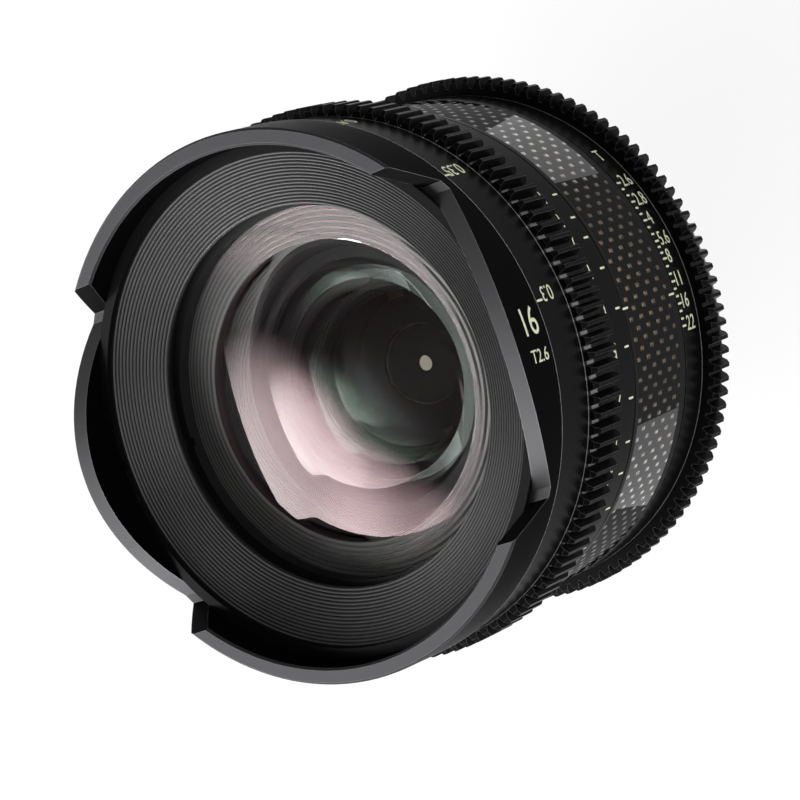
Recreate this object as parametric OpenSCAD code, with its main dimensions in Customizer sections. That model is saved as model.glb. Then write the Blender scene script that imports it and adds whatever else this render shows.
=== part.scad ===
// Cinema prime lens, lens axis along Z, front towards +Z.
// The origin is the centre of the mount's flange seat, the side with the focal length marks is +X.

/* [Mount and rear barrel] */
// Diameter of the mount's spigot
spigot_d = 54; // [50:0.5:56]
// Length of the spigot behind the flange seat
spigot_len = 14; // [12:0.5:18]
// Wall of the spigot
spigot_wall = 3.5; // [2.5:0.25:4.5]
// Diameter over the four flange lobes
flange_d = 67.6; // [66:0.2:70]
// Thickness of the mount's flange
flange_t = 3.2; // [2.8:0.1:4]
// Angle that each flange lobe spans
lobe_angle = 56; // [48:1:64]
// Depth of the gaps between the lobes
lobe_gap_depth = 3.4; // [2:0.2:3.8]
// Thickness of the mount shim
shim_t = 0.2; // [0.1:0.05:0.5]
// Length of the rear barrel from the shim to its front face
rear_barrel_len = 17.8; // [16:0.2:20]
// Step of the rear barrel's front below the tooth root
rear_barrel_step = 2.4; // [1.8:0.1:3]
// Depth of the rear light baffle plate
rear_baffle_t = 1.2; // [1:0.1:2]
// Width of the window in the rear light baffle
window_w = 34; // [26:1:36]
// Height of the window in the rear light baffle
window_h = 24; // [18:1:26]

/* [Film gears] */
// Gear module of both rings
gear_module = 0.8; // [0.79:0.005:0.81]
// Teeth on each ring
gear_teeth = 120; // [119:1:121]
// Width of the focus gear
focus_gear_w = 8.5; // [6:0.5:10]
// Width of the iris gear
iris_gear_w = 5; // [4:0.25:5.5]
// Chamfer on the tooth ends
tooth_chamfer = 0.8; // [0.3:0.1:1]

/* [Rings and barrel] */
// Length of the iris ring
iris_ring_len = 11.65; // [11:0.05:12.5]
// Plain lip behind the iris gear
iris_lip = 0.5; // [0.3:0.1:1]
// Step of the iris ring's number band below the tooth root
iris_band_step = 1.3; // [0.8:0.1:1.8]
// Length of the fixed middle body
body_len = 18.2; // [17:0.2:20]
// Step of the fixed middle body below the tooth root
body_step = 1.2; // [0.8:0.1:1.8]
// Length of the focus ring
focus_ring_len = 26.8; // [26:0.2:29]
// Length of the focus ring's rear number band
focus_rear_band = 9.05; // [8:0.05:10]
// Step of the focus ring's rear number band below the tooth root
focus_rear_step = 1.1; // [0.6:0.1:1.6]
// Step of the focus ring's front number band below the tooth root
focus_front_step = 0.1; // [0.05:0.05:0.5]
// Depth of the barrel tube below the tooth root
ring_depth = 6; // [5.4:0.1:6.6]
// Wall of the barrel tube
barrel_wall = 3.5; // [3:0.1:4]
// Chamfer on the edges of the rings and the body
edge_chamfer = 0.2; // [0.1:0.05:0.3]
// Thickness of the barrel's rear web
web_t = 2.7; // [2:0.1:3.5]
// Carbon sleeve thickness
carbon_t = 0.7; // [0.5:0.1:1]
// Border of the body behind the carbon sleeve
carbon_rear_border = 2.1; // [1.5:0.1:3]
// Border of the body in front of the carbon sleeve
carbon_front_border = 1.2; // [0.8:0.1:2]
// Thickness of the plain bearing rings
slide_ring_t = 1; // [0.6:0.1:1.4]

/* [Petal hood] */
// Outside diameter of the hood
front_d = 95; // [94:0.5:96]
// Length of the hood
hood_len = 10.35; // [9.5:0.05:12]
// Wall of the hood
hood_wall = 3; // [2.5:0.1:3.3]
// Thickness of the hood's floor under the baffle's outer edge
hood_floor_t = 2.2; // [1.8:0.1:2.6]
// Thickness of the hood's floor under its screw heads
hood_flange_t = 1.8; // [1.6:0.1:2.2]
// Half width of a notch at its root
notch_root_half = 27; // [24:0.5:29]
// Half width of a notch at the rim
notch_rim_half = 31.6; // [30:0.2:34]
// Height of the notch root above the back of the hood
notch_root_h = 2.6; // [2.2:0.1:4]
// Radius of the curved rim of the two short petals
petal_arc_r = 47; // [42:1:55]
// Drop of the short petals below the rim at their middle
petal_drop = 0.35; // [0.2:0.05:1]
// Draft of the petals' outside, on radius
petal_draft = 0.1; // [0.05:0.05:0.4]
// Chamfer of the hood's rim
rim_chamfer = 0.4; // [0.2:0.05:0.6]

/* [Ribbed baffle] */
// Number of ribs on the baffle
rib_count = 16; // [12:1:18]
// Height of one rib
rib_h = 0.3; // [0.2:0.05:0.4]
// How far the funnel drops from its outer edge to its inner edge
baffle_drop = 3.6; // [3:0.1:4]
// Thickness of the baffle
baffle_t = 0.8; // [0.6:0.1:1]
// Width of the spanner slots in the retaining rings
spanner_slot_w = 1.4; // [1:0.1:2]

/* [Front lenses] */
// Wall of the front cell
front_cell_wall = 3.2; // [2.8:0.1:3.6]
// Flat land round the curve of the front element
front_land = 1; // [0.8:0.1:1.4]
// Height of the curve of the front element
front_sag = 9.8; // [8:0.2:10.2]
// Thickness of the front element at its rim
front_rim_t = 3.2; // [2.6:0.1:3.6]
// Thickness of the front element at its middle
front_mid_t = 3.8; // [3:0.1:6]
// Radius of the hollow back of the front element
front_back_r = 25; // [23:0.5:26]
// Depth of the front element's rim below the hood seat
front_rim_depth = 6.6; // [6.2:0.1:7]
// Grooves in the light trap ring
trap_grooves = 8; // [5:1:9]
// Radius of the second element
second_r = 24.5; // [23.5:0.1:24.6]
// Height of the curve of the second element
second_sag = 6.5; // [4:0.1:7]

/* [Focusing group] */
// Focus ring turn from the rest mark to the near stop, degrees
focus_near_turn = 10; // [5:1:20]
// Focus ring turn from the rest mark to the far stop, degrees
focus_far_turn = 190; // [150:1:195]
// Travel of the focusing group over the whole turn
focus_travel = 7; // [6.5:0.1:7.4]
// Radius of the cam followers
follower_r = 1.2; // [1:0.05:1.3]
// Wall of the cam sleeve
cam_sleeve_wall = 2.2; // [1.8:0.1:2.3]
// Radius of the focusing lenses
focus_lens_r = 20; // [18:0.2:21]
// Wall of the focusing cell
focus_cell_wall = 2.85; // [2.4:0.05:3.2]

/* [Iris] */
// Radius of the open aperture
open_r = 7.6; // [7.2:0.1:7.8]
// Radius of the smallest aperture
closed_r = 0.9; // [0.7:0.1:2]
// Radius of the circle of blade pivots
pivot_r = 13.4; // [13.2:0.1:14]
// Width of a blade
blade_w = 4.6; // [4.2:0.1:4.7]
// Thickness of a blade
blade_t = 0.12; // [0.08:0.01:0.16]
// Angle that a blade spans
blade_arc = 105; // [95:1:115]
// Length of the drive arm of a blade
drive_arm = 5; // [4.8:0.1:5.2]
// Iris ring turn from the rest mark to fully open, degrees
iris_open_turn = 28; // [26:0.5:29]
// Iris ring turn from the rest mark to fully closed, degrees
iris_close_turn = 7; // [5:0.5:8]
// Radius of the link pin between iris ring and cam ring
link_r = 1; // [0.8:0.05:1.2]
// Direction of the link pin, degrees from +X
link_angle = 90; // [0:5:355]

/* [Rear lenses] */
// Radius of the rear lenses
rear_lens_r = 14.9; // [14:0.1:15.2]
// Wall of the rear cell
rear_cell_wall = 3.3; // [2.8:0.1:3.6]
// Length of the rear cell behind the web
rear_cell_len = 31.5; // [31:0.1:32.5]

/* [Fits] */
// Gap between turning rings and fixed faces
run_gap = 0.3; // [0.2:0.05:0.4]
// Sliding fit gap on radius
slide_gap = 0.05; // [0.02:0.01:0.08]
// Assembly gap between fixed pieces on radius
seat_gap = 0.05; // [0.02:0.01:0.1]
// Gap of pins in slots
slot_gap = 0.12; // [0.1:0.01:0.2]
// Radius of the small screws
screw_r = 0.9; // [0.7:0.05:1]
// Length of the small screws
screw_len = 3.6; // [3.4:0.1:3.8]
// Length of the mount screws
mount_screw_len = 7; // [6:0.25:7.5]

/* [Hidden] */
$fn = 96;
eps = 0.01;

// Stations along the lens axis
rear_z0 = flange_t + shim_t;
web_z0 = rear_z0 + rear_barrel_len;
web_z1 = web_z0 + web_t;
iris_z0 = web_z0 + run_gap;
iris_z1 = iris_z0 + iris_ring_len;
body_z0 = iris_z1 + run_gap;
body_z1 = body_z0 + body_len;
focus_z0 = body_z1 + run_gap;
focus_z1 = focus_z0 + focus_ring_len;
hood_z0 = focus_z1 + run_gap;
hood_z1 = hood_z0 + hood_len;

// Radii of the film gears, and of the rings and barrel inside them
tip_r = gear_module * (gear_teeth + 2) / 2;
root_r = gear_module * (gear_teeth - 2.5) / 2;
pressure_angle = 20;
iris_band_r = root_r - iris_band_step;
body_r = root_r - body_step;
focus_rear_r = root_r - focus_rear_step;
focus_front_r = root_r - focus_front_step;
rear_barrel_r = root_r - rear_barrel_step;
barrel_r = root_r - ring_depth;
bore_r = barrel_r - barrel_wall;
tooth_tip_half = gear_module * (PI / 4 - tan(pressure_angle));
tooth_root_half = gear_module * (PI / 4 + 1.25 * tan(pressure_angle));

// Ring bores
ring_bore_r = barrel_r + run_gap;
sleeve_r = ring_bore_r + cam_sleeve_wall;

// Front cell
cell_r = bore_r - seat_gap;
lens_gap = 0.25;
lens_land = 2;
spanner_slot_depth = 0.8;
front_element_r = cell_r - front_cell_wall - lens_gap;
front_clear_r = front_element_r - front_land;

// Hood and baffle
baffle_lap = 0.2;
baffle_in_r = front_clear_r + baffle_lap;
hood_r = front_d / 2;
petal_r = hood_r - petal_draft;
hood_in_r = hood_r - hood_wall;
floor_land_z = hood_z0 + hood_floor_t;
baffle_out_r = hood_in_r - seat_gap;
retainer_t = 1.2;
retainer_w = 1.8;
baffle_land_in_r = baffle_out_r - retainer_w;
baffle_top_z = floor_land_z + baffle_t;
baffle_slope = baffle_drop / (baffle_land_in_r - baffle_in_r);
screw_ring_r = (barrel_r + bore_r) / 2;
screw_head_r = 1.8 * screw_r;
screw_head_h = screw_head_r - screw_r;
screw_edge = 0.2;
flange_hole_r = screw_ring_r - screw_head_r - screw_edge;
floor_low_z = floor_land_z - baffle_slope * (baffle_land_in_r - flange_hole_r) - seat_gap;
hood_seat_z = floor_low_z - hood_flange_t;

// Front group
rim_z1 = hood_z0 - front_rim_depth;
rim_z0 = rim_z1 - front_rim_t;
trap_t = 1.4;
trap_depth = 0.5;
trap_z0 = rim_z0 - trap_t;
front_lap = 0.4;
front_retainer_t = 3;
cell_floor_t = 1.8;
cell_z0 = trap_z0 - cell_floor_t;
cell_setback = 2.4;
cell_z1 = hood_z0 - cell_setback;
second_wall = 3;
second_lip_w = 4.5;
second_lip_t = 1.2;
second_drop = 8;
second_z0 = cell_z0 - second_drop;
second_rim_t = 4.2;
second_z1 = second_z0 + second_rim_t;
second_land = 1.5;
second_retainer_t = 2;
second_clear_r = second_r - second_land;

// Focusing group
cam_pitch = focus_travel / (focus_near_turn + focus_far_turn);
follower_at = 10.85;
follower_z = focus_z0 + follower_at;
far_z = follower_z - cam_pitch * focus_far_turn;
near_z = follower_z + cam_pitch * focus_near_turn;
cam_slot_w = 2 * (follower_r + slot_gap);
cam_margin = 0.2;
cam_end = cam_slot_w / 2 + cam_margin;
sleeve_inset = 0.2;
sleeve_land = 2.4;
sleeve_z0 = focus_z0 + sleeve_inset;
sleeve_z1 = near_z + cam_end + sleeve_land;
slider_r = bore_r - slide_gap;
slide_seat_r = ring_bore_r - slide_ring_t - run_gap / 2;
front_slide_at = 18;
front_slide_z = focus_z0 + front_slide_at;
front_slide_w = 3;
rear_slide_z = sleeve_z0 + sleeve_inset;
rear_slide_w = 1.8;
iris_slide_inset = 2;
iris_slide_z = iris_z0 + iris_slide_inset;
iris_slide_w = 2;
front_slide = [front_slide_z, front_slide_z + front_slide_w];
rear_slide = [rear_slide_z, rear_slide_z + rear_slide_w];
iris_slide = [iris_slide_z, iris_slide_z + iris_slide_w];
skirt_edge = 2.2;
skirt_len = 16.5;
skirt_z1 = follower_z + skirt_edge;
skirt_z0 = skirt_z1 - skirt_len;
focus_web_t = 3;
hub_wall = 2.8;
hub_bore_r = focus_lens_r + seat_gap;
hub_drop = 5;
hub_rise = 7.4;
hub_z0 = skirt_z0 - hub_drop;
hub_z1 = skirt_z0 + hub_rise;
hub_lip_t = 1;
hub_lip_w = 2.2;
third_z0 = hub_z0 + hub_lip_t;
third_t = 4.2;
spacer_t = 1.2;
fourth_z0 = third_z0 + third_t + spacer_t;
fourth_t = 4;
focus_retainer_t = 1.8;
focus_clear_r = focus_lens_r - lens_land;

// Iris
blade_count = 11;
iris_turn = iris_open_turn + iris_close_turn;
blade_turn = 2 * asin((open_r - closed_r) / (2 * pivot_r));
blade_ratio = blade_turn / iris_turn;
blade_open = -blade_turn / 2;
blade_rest = blade_open + blade_turn * iris_open_turn / iris_turn;
blade_gap = 0.1;
blade_pitch = blade_t + blade_gap;
pivot_pin_r = 0.6;
drive_pin_r = 0.5;
pin_inset = 0.1;
floor_t = 1.2;
floor_z0 = web_z1;
blade_floor_gap = 0.15;
blade_z0 = floor_z0 + floor_t + blade_floor_gap;
cam_z0 = blade_z0 + blade_count * blade_pitch + blade_gap;
cam_t = 1.2;
cam_z1 = cam_z0 + cam_t;
slot_half = drive_pin_r + slot_gap;
cam_in_land = 1;
cam_out_land = 1.6;
cam_in_r = norm(drive_pin(blade_open)) - slot_half - cam_in_land;
cam_out_r = norm(drive_pin(-blade_open)) + slot_half + cam_out_land;
housing_in_r = cam_out_r + slot_gap;
housing_wall = 2;
housing_r = housing_in_r + housing_wall;
housing_flange_w = 4.2;
housing_flange_r = housing_r + housing_flange_w;
housing_z1 = cam_z1 + run_gap;
link_z = (cam_z0 + cam_z1) / 2;
lug_half = 2.5;
lug_gap = 0.7;
lug_len = 4.5;
lug_r0 = housing_r + lug_gap;
lug_r1 = lug_r0 + lug_len;
link_cover = 1.8;
link_seat_r = iris_band_r - link_cover;
floor_hole_gap = 0.4;
floor_hole_r = open_r + floor_hole_gap;

// Rear group
rear_bore_r = rear_lens_r + seat_gap;
rear_cell_r = rear_bore_r + rear_cell_wall;
web_bore_r = rear_cell_r + seat_gap;
rear_cell_z1 = web_z1 - run_gap;
rear_cell_z0 = web_z0 - rear_cell_len;
rear_flange_w = 6.6;
rear_screw_inset = 3.6;
rear_flange_r = rear_cell_r + rear_flange_w;
rear_flange_t = 2.5;
rear_lip_t = 1.2;
rear_lip_w = 3;
rear_clear_r = rear_lens_r - lens_land;
fifth_z1 = rear_cell_z1 - rear_lip_t;
fifth_t = 4.6;
rear_spacer_t = 2.5;
sixth_t = 6;
sixth_z1 = fifth_z1 - fifth_t - rear_spacer_t;
rear_element_t = 5;
rear_retainer_t = 2;
rear_inset = 0.6;
rear_element_z0 = rear_cell_z0 + rear_inset + rear_retainer_t;
rear_element_z1 = rear_element_z0 + rear_element_t;
rear_barrel_gap = 1.6;
rear_barrel_in_r = rear_flange_r + rear_barrel_gap;

// Mount
spigot_r = spigot_d / 2;
spigot_in_r = spigot_r - spigot_wall;
flange_r = flange_d / 2;
mount_screw_ring_r = (spigot_r + flange_r) / 2;
mount_screw_angle = 17;
baffle_step = 1.5;
shim_inset = 0.5;
locating_notch_w = 3.2;
locating_notch_depth = 1.6;

// Colours
black = [0.03, 0.03, 0.035];
satin = [0.09, 0.09, 0.095];
glass = [0.35, 0.45, 0.45, 0.4];
steel = [0.72, 0.73, 0.75];
bronze = [0.55, 0.43, 0.24];
polymer = [0.85, 0.84, 0.8];

// Point turned about the axis
function turned(p, a) = [p.x * cos(a) - p.y * sin(a), p.x * sin(a) + p.y * cos(a)];

// Drive pin of a blade on the +X pivot, b degrees from the middle of its swing
function drive_pin(b) = [pivot_r + drive_arm * sin(b), -drive_arm * cos(b)];

// The same pin as the cam ring sees it, with the ring at rest
function slot_point(b) = turned(drive_pin(b), (blade_rest - b) / blade_ratio);

// Centre of the circle through three points
function circle_centre(a, b, c) =
  let (d = 2 * (a.x * (b.y - c.y) + b.x * (c.y - a.y) + c.x * (a.y - b.y)))
  [((a * a) * (b.y - c.y) + (b * b) * (c.y - a.y) + (c * c) * (a.y - b.y)) / d,
   ((a * a) * (c.x - b.x) + (b * b) * (a.x - c.x) + (c * c) * (b.x - a.x)) / d];

// Radius of a sphere with a given height of curve over a given clear radius
function curve_radius(r, sag) = (r * r + sag * sag) / (2 * sag);

module ring(r_in, r_out, z0, z1) {
  difference() {
    translate([0, 0, z0]) cylinder(r = r_out, h = z1 - z0);
    translate([0, 0, z0 - 1]) cylinder(r = r_in, h = z1 - z0 + 2);
  }
}

// Part of a ring, from one angle over a span
module ring_sector(r_in, r_out, z0, z1, from, span) {
  rotate([0, 0, from])
    rotate_extrude(angle = span)
      translate([r_in, z0])
        square([r_out - r_in, z1 - z0]);
}

// Crown of trapezoid teeth with chamfered ends, down to a core radius
module gear_crown(z0, w, core_r) {
  step = 360 / gear_teeth;
  tip_a = asin(tooth_tip_half / tip_r);
  root_a = asin(tooth_root_half / root_r);
  tooth = [[root_r, -root_a], [tip_r, -tip_a], [tip_r, tip_a], [root_r, root_a]];
  outline = [for (i = [0:gear_teeth - 1], p = tooth)
    p[0] * [cos(i * step + p[1]), sin(i * step + p[1])]];
  z1 = z0 + w;
  difference() {
    intersection() {
      translate([0, 0, z0]) linear_extrude(w) polygon(outline);
      rotate_extrude()
        polygon([[0, z0], [tip_r - tooth_chamfer, z0], [tip_r + eps, z0 + tooth_chamfer],
                 [tip_r + eps, z1 - tooth_chamfer], [tip_r - tooth_chamfer, z1], [0, z1]]);
    }
    translate([0, 0, z0 - 1]) cylinder(r = core_r, h = w + 2);
  }
}

// Lens with flat lands at its rim; a curve rises towards +Z where its height is positive
module lens(r, z0, z1, front_r, front_h, back_r, back_h) {
  difference() {
    union() {
      translate([0, 0, z0]) cylinder(r = r, h = z1 - z0);
      if (front_h > 0) cap(front_r, z1, front_h);
      if (back_h < 0) mirror([0, 0, 1]) cap(back_r, -z0, -back_h);
    }
    if (front_h < 0) mirror([0, 0, 1]) cap(front_r, -z1, -front_h);
    if (back_h > 0) cap(back_r, z0, back_h);
  }
}

// Spherical cap of a given height standing on a plane
module cap(r, z, h) {
  big = curve_radius(r, h);
  intersection() {
    translate([0, 0, z + h - big]) sphere(r = big, $fn = 240);
    translate([0, 0, z - eps]) cylinder(r = r + eps, h = h + 1);
  }
}

// Threaded retaining ring with two spanner slots in its front face
module spanner_ring(r_in, r_out, z0, z1, slot_depth) {
  difference() {
    ring(r_in, r_out, z0, z1);
    for (a = [0, 180])
      rotate([0, 0, a])
        translate([r_in - 1, -spanner_slot_w / 2, z1 - slot_depth])
          cube([r_out - r_in + 2, spanner_slot_w, slot_depth + 1]);
  }
}

// Countersunk screw, head up, with its head flush with z = 0, larger by a gap where it cuts a hole
module screw(gap = 0, len = screw_len) {
  translate([0, 0, -len - gap]) cylinder(r = screw_r + gap, h = len + gap);
  translate([0, 0, -screw_head_h - gap])
    cylinder(r1 = screw_r + gap, r2 = screw_head_r + gap, h = screw_head_h);
  if (gap > 0) translate([0, 0, -gap]) cylinder(r = screw_head_r + gap, h = 1);
}

module at_circle(n, r, from = 0) {
  for (i = [0:n - 1])
    rotate([0, 0, from + i * 360 / n])
      translate([r, 0, 0])
        children();
}

module hood_screw_set(gap = 0) {
  translate([0, 0, floor_low_z]) at_circle(6, screw_ring_r, 30) screw(gap);
}

module housing_screw_set(gap = 0) {
  translate([0, 0, floor_z0 + floor_t]) at_circle(3, housing_r + housing_flange_w / 2 + 0.1, 30) screw(gap);
}

module rear_cell_screw_set(gap = 0) {
  translate([0, 0, web_z0 - rear_flange_t])
    mirror([0, 0, 1]) at_circle(4, rear_cell_r + rear_screw_inset, 45) screw(gap);
}

module mount_screw_set(gap = 0) {
  mirror([0, 0, 1])
    for (side = [-1, 1])
      at_circle(4, mount_screw_ring_r, 45 + side * mount_screw_angle) screw(gap, mount_screw_len);
}

module petal_hood() {
  color(black) difference() {
    rotate_extrude()
      polygon([[flange_hole_r, hood_seat_z], [barrel_r, hood_seat_z], [barrel_r, hood_z0],
               [hood_r - edge_chamfer, hood_z0], [hood_r, hood_z0 + edge_chamfer],
               [hood_r, hood_z0 + notch_root_h], [petal_r, hood_z1 - rim_chamfer],
               [petal_r - rim_chamfer, hood_z1],
               [hood_in_r + rim_chamfer, hood_z1], [hood_in_r, hood_z1 - rim_chamfer],
               [hood_in_r, floor_land_z], [baffle_land_in_r, floor_land_z], [flange_hole_r, floor_low_z]]);
    petal_cut();
    hood_screw_set(seat_gap);
  }
}

// Cuts both notched sides of the hood, leaving the curved rims of the short petals
module petal_cut() {
  reach = 2 * hood_r;
  root_z = hood_z0 + notch_root_h;
  slope = (notch_rim_half - notch_root_half) / (hood_z1 - root_z);
  top = 4;
  top_half = notch_rim_half + slope * top;
  difference() {
    rotate([90, 0, 90])
      translate([0, 0, -reach])
        linear_extrude(2 * reach)
          polygon([[-notch_root_half, root_z], [notch_root_half, root_z],
                   [top_half, hood_z1 + top], [-top_half, hood_z1 + top]]);
    translate([-reach - 1, 0, hood_z1 - petal_drop - petal_arc_r])
      rotate([0, 90, 0])
        cylinder(r = petal_arc_r, h = 2 * reach + 2, $fn = 180);
  }
}

module hood_screws() {
  color(steel) hood_screw_set();
}

module hood_retainer() {
  color(black)
    spanner_ring(baffle_land_in_r, hood_in_r - seat_gap, baffle_top_z, baffle_top_z + retainer_t,
                 spanner_slot_depth);
}

// Funnel with a saw-tooth profile of ribs, its outer land clamped on the hood's floor
module ribbed_baffle() {
  step = (baffle_land_in_r - baffle_in_r) / rib_count;
  fall = baffle_drop / rib_count;
  ribs = [for (i = [0:rib_count - 1], k = [0, 1])
    [baffle_land_in_r - (i + 0.5 * k) * step, baffle_top_z - (i + 0.5 * k) * fall - (1 - k) * rib_h]];
  inner_z = baffle_top_z - baffle_drop;
  color(satin) rotate_extrude()
    polygon(concat(
      [[baffle_out_r, floor_land_z], [baffle_out_r, baffle_top_z], [baffle_land_in_r, baffle_top_z]],
      ribs,
      [[baffle_in_r, inner_z - rib_h], [baffle_in_r, inner_z - baffle_t],
       [baffle_land_in_r, floor_land_z]]));
}

module front_cell() {
  color(black) {
    ring(cell_r - front_cell_wall, cell_r, trap_z0, cell_z1);
    ring(second_r + seat_gap, cell_r, cell_z0, trap_z0);
    ring(second_r + seat_gap, second_r + second_wall, second_z0, cell_z0);
    ring(second_r - second_lip_w, second_r + second_wall, second_z0 - second_lip_t, second_z0);
  }
}

// Ring with concentric grooves under the rim of the front element
module light_trap_ring() {
  out_r = cell_r - front_cell_wall - seat_gap;
  in_r = front_back_r + lens_gap;
  step = (out_r - in_r) / (trap_grooves + 0.5);
  color(satin) difference() {
    ring(in_r, out_r, trap_z0, rim_z0);
    for (i = [0:trap_grooves - 1])
      ring(in_r + (i + 0.5) * step, in_r + (i + 1) * step, rim_z0 - trap_depth, rim_z0 + 1);
  }
}

module front_element() {
  back_h = front_rim_t + front_sag - front_mid_t;
  color(glass) lens(front_element_r, rim_z0, rim_z1, front_clear_r, front_sag, front_back_r, back_h);
}

module front_element_retainer() {
  out_r = cell_r - front_cell_wall - seat_gap;
  color(black) difference() {
    spanner_ring(front_clear_r - front_lap, out_r, rim_z1, rim_z1 + front_retainer_t, spanner_slot_depth);
    cap(front_clear_r + slide_gap, rim_z1, front_sag + slide_gap);
  }
}

module second_element() {
  back_r = second_r - 7;
  back_sag = 8;
  color(glass) lens(second_r, second_z0, second_z1, second_clear_r, second_sag, back_r, back_sag);
}

module second_element_retainer() {
  color(black) difference() {
    spanner_ring(second_r - lens_land, second_r, second_z1, second_z1 + second_retainer_t,
                 spanner_slot_depth);
    cap(second_clear_r + slide_gap, second_z1, second_sag + slide_gap);
  }
}

// Groove round the barrel between two stations
module slide_groove(span) {
  ring(slide_seat_r, barrel_r + 1, span[0], span[1]);
}

// Plain bearing ring that fills such a groove and carries a turning ring
module slide_ring(span) {
  color(polymer)
    ring(slide_seat_r + seat_gap, ring_bore_r - slide_gap, span[0] + seat_gap, span[1] - seat_gap);
}

module main_barrel() {
  carbon_z0 = body_z0 + carbon_rear_border;
  carbon_z1 = body_z1 - carbon_front_border;
  recess_r = body_r - carbon_t - seat_gap;
  color(black) difference() {
    rotate_extrude()
      polygon([[web_bore_r, web_z0], [barrel_r, web_z0], [barrel_r, body_z0],
               [body_r - edge_chamfer, body_z0], [body_r, body_z0 + edge_chamfer],
               [body_r, carbon_z0], [recess_r, carbon_z0],
               [recess_r, carbon_z1], [body_r, carbon_z1], [body_r, body_z1 - edge_chamfer],
               [body_r - edge_chamfer, body_z1], [barrel_r, body_z1], [barrel_r, hood_seat_z],
               [bore_r, hood_seat_z], [bore_r, web_z1], [web_bore_r, web_z1]]);
    slide_groove(front_slide);
    slide_groove(rear_slide);
    slide_groove(iris_slide);
    for (i = [0:2]) rotate([0, 0, i * 120]) follower_slot();
    link_slot(bore_r - 1, barrel_r + 1, link_r + slot_gap + 0.2);
    hood_screw_set(seat_gap);
    housing_screw_set(seat_gap);
    rear_cell_screw_set(seat_gap);
  }
}

// Straight slot that keeps a cam follower from turning
module follower_slot() {
  half = follower_r + slot_gap;
  ends = [far_z - slot_gap, near_z + slot_gap];
  translate([bore_r - 1, -half, ends[0]]) cube([barrel_r - bore_r + 2, 2 * half, ends[1] - ends[0]]);
  for (z = ends)
    translate([bore_r - 1, 0, z]) rotate([0, 90, 0]) cylinder(r = half, h = barrel_r - bore_r + 2);
}

// Slot round the axis that lets the link pin swing with the iris ring
module link_slot(r_in, r_out, half) {
  margin = 2 + asin(half / r_in);
  ring_sector(r_in, r_out, link_z - half, link_z + half, link_angle - iris_open_turn - margin,
              iris_turn + 2 * margin);
}

module carbon_sleeve() {
  color(satin) ring(body_r - carbon_t, body_r, body_z0 + carbon_rear_border + seat_gap,
                    body_z1 - carbon_front_border - seat_gap);
}

module focus_ring() {
  gear_z0 = focus_z0 + focus_rear_band;
  color(black) {
    rotate_extrude()
      polygon([[sleeve_r + seat_gap, focus_z0], [focus_rear_r - edge_chamfer, focus_z0],
               [focus_rear_r, focus_z0 + edge_chamfer], [focus_rear_r, gear_z0 + 1],
               [focus_front_r - 0.2, gear_z0 + 1], [focus_front_r - 0.2, gear_z0 + focus_gear_w - 1],
               [focus_front_r, gear_z0 + focus_gear_w - 1], [focus_front_r, focus_z1 - edge_chamfer],
               [focus_front_r - edge_chamfer, focus_z1], [ring_bore_r, focus_z1],
               [ring_bore_r, sleeve_z1 + seat_gap],
               [sleeve_r + seat_gap, sleeve_z1 + seat_gap]]);
    gear_crown(gear_z0, focus_gear_w, focus_rear_r - 0.6);
  }
}

// Sleeve fixed in the focus ring, with three helical cam slots
module focus_cam_sleeve() {
  color(bronze) difference() {
    ring(ring_bore_r, sleeve_r, sleeve_z0, sleeve_z1);
    for (i = [0:2]) rotate([0, 0, i * 120]) cam_slot();
  }
}

// Helical slot: it drops by the whole travel over the whole turn of the ring
module cam_slot() {
  half_a = cam_slot_w / cam_pitch / 2;
  length = near_z - far_z + 2 * cam_end;
  first_a = focus_far_turn + cam_end / cam_pitch;
  in_r = ring_bore_r - 3;
  out_r = sleeve_r + 4;
  translate([0, 0, far_z - cam_end])
    rotate([0, 0, first_a])
      linear_extrude(length, twist = length / cam_pitch, slices = 60, segments = 5, $fn = 5)
        polygon([in_r * [cos(half_a), -sin(half_a)], out_r * [cos(half_a), -sin(half_a)], [out_r, 0],
                 out_r * [cos(half_a), sin(half_a)], in_r * [cos(half_a), sin(half_a)]]);
}

module focus_slide_ring_front() {
  slide_ring(front_slide);
}

module focus_slide_ring_rear() {
  slide_ring(rear_slide);
}

module focus_cell() {
  color(black) difference() {
    rotate_extrude()
      polygon([[focus_lens_r - hub_lip_w, hub_z0], [hub_bore_r + hub_wall, hub_z0],
               [hub_bore_r + hub_wall, skirt_z0],
               [slider_r, skirt_z0], [slider_r, skirt_z1], [slider_r - focus_cell_wall, skirt_z1],
               [slider_r - focus_cell_wall, skirt_z0 + focus_web_t],
               [hub_bore_r + hub_wall, skirt_z0 + focus_web_t],
               [hub_bore_r + hub_wall, hub_z1], [hub_bore_r, hub_z1], [hub_bore_r, third_z0],
               [focus_lens_r - hub_lip_w, third_z0]]);
    follower_pins(slider_r - focus_cell_wall - 1, slider_r + 1, follower_r + seat_gap);
  }
}

module follower_pins(r0, r1, r) {
  for (i = [0:2])
    rotate([0, 0, i * 120])
      translate([r0, 0, follower_z])
        rotate([0, 90, 0])
          cylinder(r = r, h = r1 - r0);
}

module focus_followers() {
  color(steel) follower_pins(slider_r - focus_cell_wall + 0.3, sleeve_r - 0.3, follower_r);
}

module third_element() {
  color(glass)
    lens(focus_lens_r, third_z0, third_z0 + third_t, focus_clear_r, -1.2, focus_clear_r, 1.5);
}

module focus_spacer() {
  color(black) ring(focus_clear_r, focus_lens_r, third_z0 + third_t, fourth_z0);
}

module fourth_element() {
  color(glass)
    lens(focus_lens_r, fourth_z0, fourth_z0 + fourth_t, focus_clear_r, 2.6, focus_clear_r, 0.8);
}

module focus_cell_retainer() {
  z = fourth_z0 + fourth_t;
  color(black) spanner_ring(focus_clear_r + slide_gap, focus_lens_r, z, z + focus_retainer_t,
                            spanner_slot_depth);
}

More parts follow.
